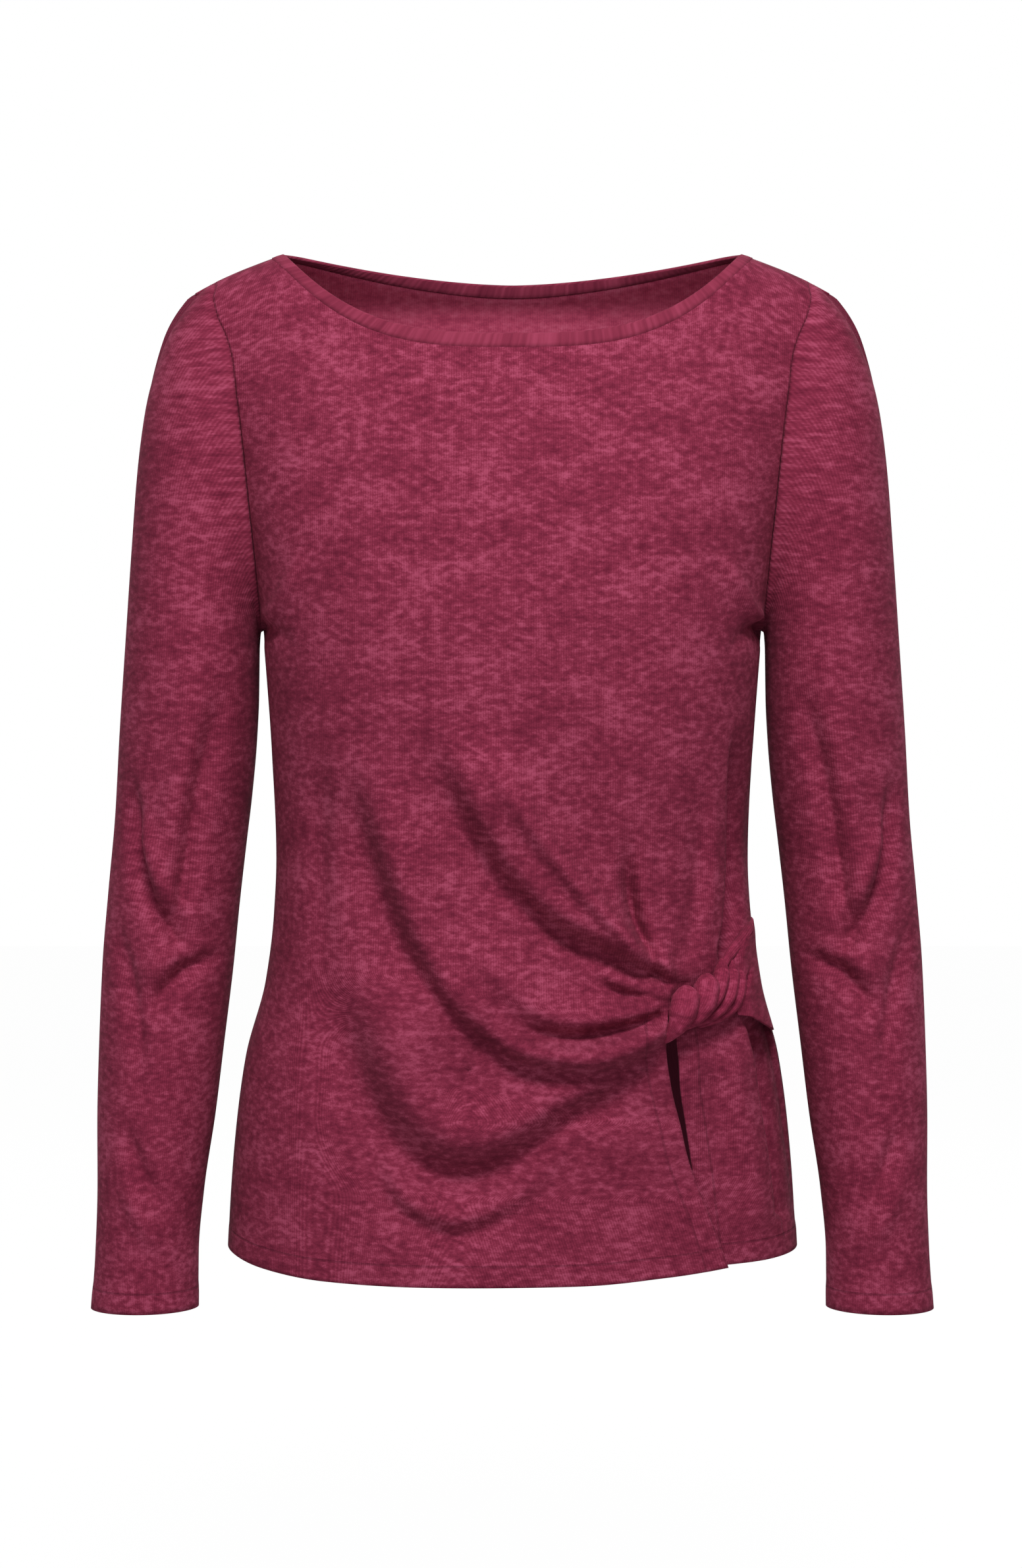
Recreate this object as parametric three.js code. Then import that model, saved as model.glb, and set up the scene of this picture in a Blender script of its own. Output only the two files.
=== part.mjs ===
// Boat neck top with long sleeves and a twist knot at the wearer's left hip, filled out as if worn.
// Millimetres, +Z up. The front faces -Y and +X is the wearer's left.
// The origin is midway between the two neck points, where the shoulder seams meet the neckline.
import * as THREE from "three";

// Driving dimensions
const clothWall = 1.2;
const bindingWall = 2;
const seamGap = 0.6;
const neckHalfWidth = 144;
const bindingHalfWidth = 138;
const bindingStand = 1.03; // the binding stands a little steeper than the chest it is sewn to
const armholeDepth = 226;
const slitTop = 468; // drop of the point where the hem slit opens, under the knot
const sleeveStand = { top: 1.3, underarm: 1.9 }; // how far the sleeve starts outside the armhole
const hemDrop = { side: 600, back: 604 };

// Shoulders fall away from the neck points; the fall fades out down the chest.
const shoulderFall = { start: 136, softness: 8, slope: 0.4, roundFrom: 160, round: 0.0028, fade: 75 };

// The body's level sections: drop below the neck points, half width, how far the front and the back
// reach from the side seams, and how square the section is (2 is an ellipse).
const bodySections = [
  { drop: 0, halfWidth: 219.5, front: 0, back: 0, square: 2.2 },
  { drop: 5, halfWidth: 217.5, front: 24, back: 26.3, square: 2.2 },
  { drop: 15, halfWidth: 212.5, front: 42.5, back: 46, square: 2.2 },
  { drop: 30, halfWidth: 206, front: 59, back: 65, square: 2.2 },
  { drop: 60, halfWidth: 196, front: 77, back: 83, square: 2.2 },
  { drop: 90, halfWidth: 182.5, front: 94, back: 94, square: 2.3 },
  { drop: 130, halfWidth: 169.5, front: 108, back: 104, square: 2.45 },
  { drop: 180, halfWidth: 157.5, front: 119, back: 108, square: 2.6 },
  { drop: 226, halfWidth: 150.5, front: 124.2, back: 105, square: 2.6 },
  { drop: 260, halfWidth: 147.6, front: 124.5, back: 101, square: 2.55 },
  { drop: 300, halfWidth: 145, front: 122, back: 96, square: 2.5 },
  { drop: 365, halfWidth: 142.6, front: 115, back: 89, square: 2.4 },
  { drop: 400, halfWidth: 144.2, front: 113, back: 88, square: 2.4 },
  { drop: 440, halfWidth: 149.3, front: 114, back: 93, square: 2.4 },
  { drop: 485, halfWidth: 161.3, front: 116, back: 102, square: 2.4 },
  { drop: 525, halfWidth: 167, front: 118, back: 108, square: 2.4 },
  { drop: 565, halfWidth: 170.5, front: 120, back: 113, square: 2.4 },
  { drop: 610, halfWidth: 173, front: 122, back: 117, square: 2.4 },
];

// The neckline's two curves: the cloth edge and the binding's top edge, as depth at the centre and
// how late the curve turns up towards the neck points.
const neckline = {
  front: { clothDepth: 60, bindingDepth: 52.8, turn: 3.1 },
  back: { clothDepth: 23, bindingDepth: 16.5, turn: 1.65 },
};
const armholeReach = { front: 46, back: 50 };

// The front hem: how far it drops at each distance from the centre, with the slit's overlap at the right.
const frontHem = [
  { x: -173, drop: 600 },
  { x: -150, drop: 604.5 },
  { x: -110, drop: 608 },
  { x: -50, drop: 609 },
  { x: 40, drop: 608 },
  { x: 90, drop: 604.5 },
  { x: 124, drop: 600.5 },
];

// The hem slit's two edges: the main front laps over the side front towards the hem.
const slitEdges = [
  { drop: 226, main: 80, under: 80 },
  { drop: 340, main: 84, under: 84 },
  { drop: 468, main: 90, under: 90 },
  { drop: 490, main: 93.5, under: 98.5 },
  { drop: 520, main: 99.5, under: 103 },
  { drop: 545, main: 105, under: 106.5 },
  { drop: 570, main: 114.5, under: 110 },
  { drop: 600, main: 124, under: 114 },
];

// The draped folds of the front: ridges (height above 0) and troughs (below 0), each along a curve of
// [x, drop] points, with its half width at the two ends.
const frontFolds = [
  { name: "outer swoop", height: -9, width: [20, 11],
    along: [[-90, 306], [-74, 376], [-44, 444], [4, 478], [60, 489]] },
  { name: "inner swoop", height: -9, width: [18, 8],
    along: [[-22, 298], [10, 371], [52, 414], [87, 433]] },
  { name: "upper drape", height: 6, width: [26, 10],
    along: [[-9, 277], [31, 360], [69, 408], [92, 432]] },
  { name: "side pull", height: -5, width: [12, 7],
    along: [[71, 355], [71, 371], [77, 398], [87, 422]] },
  { name: "middle drape", height: 7, width: [20, 9],
    along: [[-20, 400], [15, 433], [60, 453], [90, 443]] },
  { name: "roll shadow", height: -7, width: [10, 7],
    along: [[15, 462], [36, 466], [63, 464], [80, 455]] },
  { name: "roll", height: 12, width: [14, 12],
    along: [[4, 469], [26, 478], [55, 479], [74, 469], [92, 454]] },
  { name: "low swoop", height: 7, width: [18, 12],
    along: [[-71, 460], [-52, 484], [-28, 500], [0, 505], [36, 495]] },
  { name: "hem trough", height: -7, width: [16, 10],
    along: [[-74, 500], [-36, 545], [4, 531], [47, 500], [66, 490]] },
  { name: "hem ridge", height: 5, width: [15, 12],
    along: [[-63, 540], [-28, 562], [15, 540], [31, 524]] },
  { name: "side trough", height: -6, width: [9, 7],
    along: [[128, 310], [128, 360], [124, 410], [118, 435]] },
];

// The sleeve's sections: its outer and inner edge, its middle and its half depth, front to back.
const sleeveSections = [
  { along: 0, outerX: 189, outerZ: -23.5, innerX: 150.5, innerZ: -226, middle: 2, halfDepth: 48 },
  { along: 12, outerX: 199.5, outerZ: -33.5, innerX: 152.5, innerZ: -229, middle: 1, halfDepth: 52 },
  { along: 30, outerX: 209.9, outerZ: -52, innerX: 153.2, innerZ: -233, middle: 0, halfDepth: 55 },
  { along: 60, outerX: 219.9, outerZ: -88, innerX: 153.8, innerZ: -240, middle: 0, halfDepth: 56.5 },
  { along: 100, outerX: 225.9, outerZ: -130, innerX: 154, innerZ: -252, middle: 0, halfDepth: 56.5 },
  { along: 150, outerX: 229.9, outerZ: -180, innerX: 154.3, innerZ: -270, middle: 0, halfDepth: 56 },
  { along: 200, outerX: 233.9, outerZ: -235, innerX: 155.8, innerZ: -297, middle: 1, halfDepth: 54.5 },
  { along: 250, outerX: 237.9, outerZ: -290, innerX: 158.8, innerZ: -328, middle: 3, halfDepth: 53 },
  { along: 300, outerX: 240.9, outerZ: -340, innerX: 162.5, innerZ: -358, middle: 4, halfDepth: 51.5 },
  { along: 350, outerX: 244.9, outerZ: -385, innerX: 166.3, innerZ: -392, middle: 1, halfDepth: 50.5 },
  { along: 400, outerX: 248.4, outerZ: -430, innerX: 170.2, innerZ: -432, middle: -3, halfDepth: 50 },
  { along: 450, outerX: 249.9, outerZ: -475, innerX: 175.3, innerZ: -476, middle: -10, halfDepth: 48 },
  { along: 500, outerX: 250.7, outerZ: -520, innerX: 180.5, innerZ: -520, middle: -16, halfDepth: 45.5 },
  { along: 550, outerX: 250.2, outerZ: -565, innerX: 187, innerZ: -565, middle: -23, halfDepth: 41 },
  { along: 590, outerX: 251.2, outerZ: -603, innerX: 190, innerZ: -603, middle: -29, halfDepth: 35 },
  { along: 622, outerX: 253.2, outerZ: -635, innerX: 190, innerZ: -634, middle: -34, halfDepth: 31 },
];

// The side tab, from the side seam (0) to the knot (1): its place, its two edges, how far it stands
// off the front and how deep its pleats are.
const tabSections = [
  { along: 0, angle: 77, top: 397, bottom: 470, stand: 1.9, pleat: 0 },
  { along: 0.3, angle: 70, top: 400, bottom: 467, stand: 2.6, pleat: 0.3 },
  { along: 0.6, angle: 63, top: 408, bottom: 462, stand: 5, pleat: 1.4 },
  { along: 0.85, angle: 54, top: 420, bottom: 458, stand: 9, pleat: 2.6 },
  { along: 1, angle: 49, top: 428, bottom: 456, stand: 12, pleat: 3 },
];

// The knot's axis, from the drape (0) to the tab (1), and its lobes: half size across and half depth.
const knotAxis = { from: { x: 87, drop: 455 }, to: { x: 107, drop: 444 }, stand: 13 };
const wrapLean = { x: -0.32, drop: 0.95 };
const knotSections = [
  { along: -0.1, across: 9, depth: 6 },
  { along: 0, across: 14, depth: 9.5 },
  { along: 0.22, across: 16, depth: 11.5 },
  { along: 0.42, across: 14, depth: 9.5 },
  { along: 0.5, across: 13, depth: 8.5 },
  { along: 0.6, across: 14.5, depth: 10 },
  { along: 0.8, across: 15.5, depth: 11.5 },
  { along: 1, across: 13, depth: 9 },
  { along: 1.08, across: 9, depth: 6 },
];

// How finely each piece is faceted
const facets = {
  shoulder: 5,
  neck: 30,
  mainFront: 26, // columns from the left side seam to the slit
  upperRows: 10,
  lowerRows: 22,
  back: { shoulder: 3, neck: 14, upperRows: 8, lowerRows: 8 },
  sleeveRound: 16,
  sleeveRows: 16,
  tab: 8,
  knotRound: 16,
};

const mix = THREE.MathUtils.lerp;
const clamp = THREE.MathUtils.clamp;
const radians = THREE.MathUtils.degToRad;
const smoothstep = THREE.MathUtils.smoothstep;

// A smooth curve through a table's rows, from one named column to another, level past its ends.
function curveThrough(rows, from, to) {
  const at = rows.map((row) => row[from]);
  const value = rows.map((row) => row[to]);
  const rise = at.slice(1).map((next, i) => (value[i + 1] - value[i]) / (next - at[i]));
  const slope = at.map((_, i) => {
    const before = rise[Math.max(i - 1, 0)];
    const after = rise[Math.min(i, rise.length - 1)];
    return before * after <= 0 ? 0 : (2 * before * after) / (before + after);
  });
  return (place) => {
    const next = at.findIndex((a) => a > place);
    const i = next < 0 ? rise.length - 1 : Math.max(next - 1, 0);
    const span = at[i + 1] - at[i];
    const t = clamp((place - at[i]) / span, 0, 1);
    const bow = (1 - t) * t * span;
    return mix(value[i], value[i + 1], t * t * (3 - 2 * t)) + bow * ((1 - t) * slope[i] - t * slope[i + 1]);
  };
}

const halfWidthAt = curveThrough(bodySections, "drop", "halfWidth");
const squareAt = curveThrough(bodySections, "drop", "square");

// A reach starts as a round shoulder, so its square is what runs smoothly.
function reachThrough(column) {
  const squared = bodySections.map((row) => ({ drop: row.drop, squared: row[column] ** 2 }));
  const curve = curveThrough(squared, "drop", "squared");
  return (drop) => Math.sqrt(curve(drop));
}

const sides = {
  front: { facing: -1, reachAt: reachThrough("front"), armhole: armholeReach.front, ...neckline.front },
  back: { facing: 1, reachAt: reachThrough("back"), armhole: armholeReach.back, ...neckline.back },
};

function fallAt(x) {
  const past = Math.abs(x) - shoulderFall.start;
  const ramp = (past + Math.hypot(past, shoulderFall.softness)) / 2;
  const round = Math.max(0, Math.abs(x) - shoulderFall.roundFrom) ** 2;
  return shoulderFall.slope * ramp + shoulderFall.round * round;
}

// A point of the body: the angle runs from -90 degrees at the right side seam, through 0 at the
// centre, to 90 degrees at the left one.
function bodyPoint(side, angle, drop) {
  const power = 2 / squareAt(drop);
  const x = halfWidthAt(drop) * Math.sign(angle) * Math.abs(Math.sin(angle)) ** power;
  const y = side.facing * side.reachAt(drop) * Math.abs(Math.cos(angle)) ** power;
  const z = -drop - fallAt(x) * Math.exp(-((drop / shoulderFall.fade) ** 2));
  return new THREE.Vector3(x, y, z);
}

function angleAt(x, drop) {
  const share = Math.min(1, Math.abs(x) / halfWidthAt(drop));
  return Math.sign(x) * Math.asin(share ** (squareAt(drop) / 2));
}

// The armhole seen from the side is an oval; turn 0 is the shoulder tip and PI the underarm.
function armholeAt(side, turn) {
  const round = Math.max(turn, 0.001);
  const drop = (armholeDepth / 2) * (1 - Math.cos(round));
  const share = (side.armhole * Math.sin(round)) / side.reachAt(drop);
  return { angle: Math.acos(Math.abs(share) ** (squareAt(drop) / 2)), drop };
}

// A point of a neckline curve; place runs from -1 to 1 between the neck points.
function neckAt(side, place, halfWidth, depth) {
  const x = halfWidth * Math.sin((place * Math.PI) / 2);
  const drop = depth * (1 - Math.abs(x / halfWidth) ** side.turn);
  return { angle: angleAt(x, drop), drop, x };
}

// The top edge of a panel: along a shoulder seam, the neckline and the other shoulder seam.
function topEdge(side, column, shoulder, neck) {
  const fromMiddle = column - shoulder - neck / 2;
  if (Math.abs(fromMiddle) <= neck / 2) {
    return neckAt(side, fromMiddle / (neck / 2), neckHalfWidth, side.clothDepth);
  }
  const out = (Math.abs(fromMiddle) - neck / 2) / shoulder;
  const tip = armholeAt(side, 0).angle;
  return { angle: Math.sign(fromMiddle) * mix(angleAt(neckHalfWidth, 0), tip, out), drop: 0 };
}

// The panel above the underarm fills the space between its top edge, its armholes and the level row
// at the underarm, whose angles are given.
function upperRow(side, row, rows, shoulder, neck, level) {
  const down = row / rows;
  const armhole = armholeAt(side, Math.PI * down);
  const columns = level.length - 1;
  const tip = topEdge(side, columns, shoulder, neck);
  return level.map((angle, column) => {
    const top = topEdge(side, column, shoulder, neck);
    const share = (2 * column) / columns - 1;
    const edgeAngle = share * (armhole.angle - mix(tip.angle, Math.PI / 2, down));
    const edgeDrop = armhole.drop - armholeDepth * down;
    return {
      angle: mix(top.angle, angle, down) + edgeAngle,
      drop: mix(top.drop, armholeDepth, down) + edgeDrop,
    };
  });
}

// Folds: each is a smooth curve, and its height dies away beside it and towards its ends.
const foldSamples = 24;
const foldPaths = frontFolds.map((fold) => {
  const path = new THREE.CatmullRomCurve3(fold.along.map(([x, drop]) => new THREE.Vector3(x, 0, drop)));
  return { ...fold, points: path.getPoints(foldSamples) };
});

function foldHeight(x, drop) {
  const place = new THREE.Vector3(x, 0, drop);
  let height = 0;
  for (const fold of foldPaths) {
    const away = fold.points.map((point) => point.distanceTo(place));
    const near = away.indexOf(Math.min(...away));
    const along = near / foldSamples;
    const fade = smoothstep(along, 0, 0.3) * (1 - smoothstep(along, 0.93, 1) * 0.6);
    height += fold.height * fade * Math.exp(-((away[near] / mix(...fold.width, along)) ** 2));
  }
  return height;
}

// The gathered cloth rises towards the knot, and the main front laps over the side front below it.
const gather = { x: 98, drop: 452, height: 9, spread: 34 };
const tuck = { from: 74, to: 87, drop: 452, spread: 34 }; // where the gathers turn in under the knot
const lap = { over: 6, under: -3, reach: 45 };

function frontRelief(x, drop, onMain) {
  const toKnot = Math.hypot(x - gather.x, drop - gather.drop) / gather.spread;
  const rise = gather.height * Math.exp(-(toKnot ** 2));
  const beside = Math.exp(-(((drop - tuck.drop) / tuck.spread) ** 4));
  const free = 1 - smoothstep(x, tuck.from, tuck.to) * beside;
  const edge = onMain ? mainEdgeAt(drop) - x : x - underEdgeAt(drop);
  const nearSlit = 1 - smoothstep(Math.max(edge, 0), 0, lap.reach);
  const opened = smoothstep(drop, slitTop, hemDrop.side - 20);
  return (foldHeight(x, drop) + rise) * free + (onMain ? lap.over : lap.under) * nearSlit * opened;
}

const mainEdgeAt = curveThrough(slitEdges, "drop", "main");
const underEdgeAt = curveThrough(slitEdges, "drop", "under");
const frontHemAt = curveThrough(frontHem, "x", "drop");

// Moves each vertex of a mesh out along its normal by a height worked out for it.
function raise(vertices, quads, heightAt) {
  const normals = vertexNormals(vertices, quads);
  return vertices.map((vertex, i) => vertex.clone().addScaledVector(normals[i], heightAt(vertex, i)));
}

function vertexNormals(vertices, quads) {
  const normals = vertices.map(() => new THREE.Vector3());
  for (const [a, b, c, d] of quads) {
    const one = vertices[c].clone().sub(vertices[a]);
    const other = vertices[d].clone().sub(vertices[b]);
    const normal = one.cross(other);
    for (const corner of [a, b, c, d]) normals[corner].add(normal);
  }
  return normals.map((normal) => normal.normalize());
}

// A cloth wall: the mesh's own surface moved half the thickness each way, closed by a rim.
function wallGeometry(vertices, quads, thickness) {
  const normals = vertexNormals(vertices, quads);
  const count = vertices.length;
  const moved = (by) => vertices.map((vertex, i) => vertex.clone().addScaledVector(normals[i], by));
  const points = [...moved(thickness / 2), ...moved(-thickness / 2)];
  const faces = [];
  const edges = new Map();
  for (const quad of quads) {
    faces.push(quad, quad.map((corner) => corner + count).reverse());
    quad.forEach((corner, i) => edges.set(`${corner},${quad[(i + 1) % 4]}`, [corner, quad[(i + 1) % 4]]));
  }
  for (const [from, to] of edges.values()) {
    if (!edges.has(`${to},${from}`)) faces.push([to, from, from + count, to + count]);
  }
  return solidGeometry(points, faces);
}

function solidGeometry(points, faces) {
  const geometry = new THREE.BufferGeometry();
  const positions = points.flatMap((point) => point.toArray());
  geometry.setAttribute("position", new THREE.Float32BufferAttribute(positions, 3));
  geometry.setIndex(faces.flatMap(([a, b, c, d]) => (d === undefined ? [a, b, c] : [a, b, c, a, c, d])));
  return geometry;
}

// Quads over a grid of vertex numbers, facing out of the garment when the columns run clockwise
// round it as seen from above.
function gridQuads(grid, facing) {
  const quads = [];
  for (let row = 0; row + 1 < grid.length; row += 1) {
    for (let column = 0; column + 1 < grid[row].length; column += 1) {
      const quad = [
        grid[row][column],
        grid[row + 1][column],
        grid[row + 1][column + 1],
        grid[row][column + 1],
      ];
      quads.push(facing < 0 ? quad : quad.reverse());
    }
  }
  return quads;
}

function frontPanel() {
  const side = sides.front;
  const { shoulder, neck, mainFront, upperRows, lowerRows } = facets;
  const columns = 2 * shoulder + neck;
  const places = [];
  const mainGrid = [];
  const underGrid = [];
  const slitAngle = (drop, edgeAt) => angleAt(edgeAt(drop), drop);
  const mainAngle = (column, drop) => {
    const t = column / mainFront;
    return mix(-Math.PI / 2, slitAngle(drop, mainEdgeAt), t * (1.2 - 0.2 * t));
  };
  const underAngle = (column, drop) => {
    const t = (column - mainFront) / (columns - mainFront);
    return mix(slitAngle(drop, underEdgeAt), Math.PI / 2, t);
  };
  const level = Array.from({ length: columns + 1 }, (_, column) =>
    column <= mainFront ? mainAngle(column, armholeDepth) : underAngle(column, armholeDepth),
  );
  const add = (place) => places.push(place) - 1;
  for (let row = 0; row < upperRows; row += 1) {
    const line = upperRow(side, row, upperRows, shoulder, neck, level).map((p) => add({ ...p, main: true }));
    mainGrid.push(line.slice(0, mainFront + 1));
    underGrid.push(line.slice(mainFront));
  }
  for (let row = 0; row <= lowerRows; row += 1) {
    const down = row / lowerRows;
    const slitOpen = mix(armholeDepth, hemDrop.side, down) > slitTop + 1;
    const place = (column, angleOf, main) => {
      const straight = bodyPoint(side, angleOf(column, hemDrop.side), hemDrop.side).x;
      const bottom = main ? frontHemAt(straight) : hemDrop.side;
      const drop = mix(armholeDepth, bottom, down);
      return add({ angle: angleOf(column, drop), drop, main });
    };
    const main = Array.from({ length: mainFront + 1 }, (_, i) => place(i, mainAngle, true));
    const under = Array.from({ length: columns - mainFront }, (_, i) =>
      place(mainFront + 1 + i, underAngle, false),
    );
    const start = slitOpen ? place(mainFront, underAngle, false) : main[mainFront];
    mainGrid.push(main);
    underGrid.push([start, ...under]);
  }
  const quads = [...gridQuads(mainGrid, side.facing), ...gridQuads(underGrid, side.facing)];
  const surface = places.map((p) => bodyPoint(side, p.angle, p.drop));
  const heights = places.map((p, i) => frontRelief(surface[i].x, p.drop, p.main));
  return apart(raise(surface, quads, (_, i) => heights[i]), quads, side);
}

function backPanel() {
  const side = sides.back;
  const { shoulder, neck, upperRows, lowerRows } = facets.back;
  const columns = 2 * shoulder + neck;
  const level = Array.from({ length: columns + 1 }, (_, i) => mix(-Math.PI / 2, Math.PI / 2, i / columns));
  const places = [];
  const grid = [];
  for (let row = 0; row < upperRows; row += 1) {
    grid.push(upperRow(side, row, upperRows, shoulder, neck, level));
  }
  for (let row = 0; row <= lowerRows; row += 1) {
    grid.push(level.map((angle) => {
      const bottom = mix(hemDrop.side, hemDrop.back, Math.cos(angle));
      return { angle, drop: mix(armholeDepth, bottom, row / lowerRows) };
    }));
  }
  const numbered = grid.map((line) => line.map((place) => places.push(place) - 1));
  const quads = gridQuads(numbered, side.facing);
  return apart(places.map((p) => bodyPoint(side, p.angle, p.drop)), quads, side);
}

// The front and back stand half a seam gap each from the shared seams.
function apart(vertices, quads, side) {
  const shift = new THREE.Vector3(0, (side.facing * seamGap) / 2, 0);
  return wallGeometry(vertices.map((vertex) => vertex.clone().add(shift)), quads, clothWall);
}

const sleeveCurves = Object.fromEntries(
  Object.keys(sleeveSections[0]).map((column) => [column, curveThrough(sleeveSections, "along", column)]),
);

// An oval section of the left sleeve; turn 0 is its outer edge and PI its inner one, and the front
// comes between them.
function sleeveOval(along, turn) {
  const at = (column) => sleeveCurves[column](along);
  const out = (1 + Math.cos(turn)) / 2;
  return new THREE.Vector3(
    mix(at("innerX"), at("outerX"), out),
    at("middle") - at("halfDepth") * Math.sin(turn),
    mix(at("innerZ"), at("outerZ"), out),
  );
}

const capBlend = 70; // the armhole's own shape fades into the sleeve's ovals over this length

function sleevePoint(along, turn) {
  const inFront = turn <= Math.PI;
  const side = inFront ? sides.front : sides.back;
  const armhole = armholeAt(side, inFront ? turn : 2 * Math.PI - turn);
  const seam = bodyPoint(side, armhole.angle, armhole.drop);
  seam.x += mix(sleeveStand.underarm, sleeveStand.top, (1 + Math.cos(turn)) / 2);
  const share = (1 - Math.min(1, along / capBlend)) ** 2;
  return sleeveOval(along, turn).addScaledVector(seam.sub(sleeveOval(0, turn)), share);
}

function sleeve(mirror) {
  const { sleeveRound, sleeveRows } = facets;
  const length = sleeveSections.at(-1).along;
  const vertices = [];
  const grid = [];
  for (let row = 0; row <= sleeveRows; row += 1) {
    const t = row / sleeveRows;
    const along = length * t * (0.55 + 0.45 * t);
    const line = [];
    for (let i = 0; i < sleeveRound; i += 1) {
      const point = sleevePoint(along, (2 * Math.PI * i) / sleeveRound);
      point.x *= mirror;
      line.push(vertices.push(point) - 1);
    }
    grid.push([...line, line[0]]);
  }
  return wallGeometry(vertices, gridQuads(grid, mirror), clothWall);
}

function neckBinding() {
  const vertices = [];
  const grid = [0, 1].map((lift) => {
    const line = [];
    for (const [side, around] of [[sides.front, facets.neck], [sides.back, facets.back.neck]]) {
      for (let i = 0; i < around; i += 1) {
        const place = -side.facing * ((2 * i) / around - 1);
        const edge = neckEdgePoint(side, place, 0);
        const top = neckEdgePoint(side, place, 1);
        const start = (clothWall / 2 + seamGap) / edge.distanceTo(top);
        line.push(vertices.push(edge.lerp(top, mix(start, 1, lift))) - 1);
      }
    }
    return [...line, line[0]];
  });
  return wallGeometry(vertices, gridQuads(grid, -1), bindingWall);
}

function neckEdgePoint(side, place, lift) {
  const halfWidth = mix(neckHalfWidth, bindingHalfWidth, lift);
  const depth = mix(side.clothDepth, side.bindingDepth, lift);
  const { angle, drop } = neckAt(side, place, halfWidth, depth);
  const point = bodyPoint(side, angle, drop);
  point.y *= mix(1, bindingStand, lift);
  return point;
}

// The front's own directions at a place: out of the garment, down it, and across towards the left side.
function frontFrame(angle, drop) {
  const step = 0.01;
  const point = bodyPoint(sides.front, angle, drop);
  const down = bodyPoint(sides.front, angle, drop + 1).sub(point).normalize();
  const across = bodyPoint(sides.front, angle + step, drop).sub(bodyPoint(sides.front, angle - step, drop));
  const out = down.clone().cross(across.normalize()).normalize();
  return { point, out, down, across };
}

function sideTab() {
  const steps = facets.tab;
  const at = Object.fromEntries(
    Object.keys(tabSections[0]).map((column) => [column, curveThrough(tabSections, "along", column)]),
  );
  const vertices = [];
  const grid = [];
  const pleats = 3;
  for (let row = 0; row <= steps; row += 1) {
    const line = [];
    for (let column = 0; column <= steps; column += 1) {
      const along = 1 - column / steps;
      const share = row / steps;
      const { point, out } = frontFrame(radians(at.angle(along)), mix(at.top(along), at.bottom(along), share));
      const crown = Math.sin(Math.PI * share) * at.pleat(along);
      const ripple = at.pleat(along) * 0.5 * Math.cos(2 * Math.PI * pleats * share);
      line.push(vertices.push(point.addScaledVector(out, at.stand(along) + crown + ripple)) - 1);
    }
    grid.push(line);
  }
  return wallGeometry(vertices, gridQuads(grid, -1), clothWall);
}

function knot() {
  const round = facets.knotRound;
  const points = [];
  const rings = knotSections.map(({ along, across, depth }) => {
    const x = mix(knotAxis.from.x, knotAxis.to.x, along);
    const drop = mix(knotAxis.from.drop, knotAxis.to.drop, along);
    const frame = frontFrame(angleAt(x, drop), drop);
    const middle = frame.point.clone().addScaledVector(frame.out, knotAxis.stand);
    const lean = frame.across.clone().multiplyScalar(wrapLean.x).addScaledVector(frame.down, wrapLean.drop);
    const ring = [];
    for (let i = 0; i < round; i += 1) {
      const turn = (2 * Math.PI * i) / round;
      const point = middle.clone().addScaledVector(lean, across * Math.cos(turn));
      ring.push(points.push(point.addScaledVector(frame.out, depth * Math.sin(turn))) - 1);
    }
    return ring;
  });
  const faces = [];
  for (let r = 0; r + 1 < rings.length; r += 1) {
    for (let i = 0; i < round; i += 1) {
      const next = (i + 1) % round;
      faces.push([rings[r][i], rings[r + 1][i], rings[r + 1][next], rings[r][next]]);
    }
  }
  for (const [ring, order] of [[rings[0], 1], [rings.at(-1), -1]]) {
    for (let i = 1; i + 1 < round; i += 1) {
      faces.push(order < 0 ? [ring[0], ring[i + 1], ring[i]] : [ring[0], ring[i], ring[i + 1]]);
    }
  }
  return solidGeometry(points, faces);
}

// Jersey in a mottled raspberry: the binding is a little lighter, the inside of the back darker.
function jersey(colour) {
  return new THREE.MeshStandardMaterial({ color: colour, roughness: 0.92, metalness: 0 });
}

const top = new THREE.Group();
const pieces = [
  ["front", frontPanel(), 0x83304a],
  ["back", backPanel(), 0x7b2b43],
  ["sleeve_left", sleeve(1), 0x7f2c44],
  ["sleeve_right", sleeve(-1), 0x7f2c44],
  ["neck_binding", neckBinding(), 0x863148],
  ["side_tab", sideTab(), 0x82304a],
  ["knot", knot(), 0x842d46],
];
for (const [name, geometry, colour] of pieces) {
  const mesh = new THREE.Mesh(geometry, jersey(colour));
  mesh.name = name;
  top.add(mesh);
}

export default top;
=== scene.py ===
# Boat neck top with long sleeves and a side twist knot, filled out as if worn.
# The shapes are worked out in millimetres, +Z up, with the front at -Y and the wearer's left at +X.
import math

import bmesh
import bpy
import numpy as np
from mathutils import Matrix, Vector

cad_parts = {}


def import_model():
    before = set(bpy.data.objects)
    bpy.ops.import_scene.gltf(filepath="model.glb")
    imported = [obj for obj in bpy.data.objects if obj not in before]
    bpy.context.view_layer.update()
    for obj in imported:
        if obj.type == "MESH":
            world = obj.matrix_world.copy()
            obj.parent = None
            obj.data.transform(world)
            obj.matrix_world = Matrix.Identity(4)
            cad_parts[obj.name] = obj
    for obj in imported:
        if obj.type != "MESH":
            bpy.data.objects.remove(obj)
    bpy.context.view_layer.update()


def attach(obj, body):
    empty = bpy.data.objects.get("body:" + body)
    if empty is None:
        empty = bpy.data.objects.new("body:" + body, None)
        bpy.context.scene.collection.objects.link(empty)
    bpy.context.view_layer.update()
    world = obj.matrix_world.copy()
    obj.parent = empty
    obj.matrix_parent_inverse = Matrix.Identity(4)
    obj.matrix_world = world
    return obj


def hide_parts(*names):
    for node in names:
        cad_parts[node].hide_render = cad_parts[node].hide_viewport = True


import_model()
MM = 0.001

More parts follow.
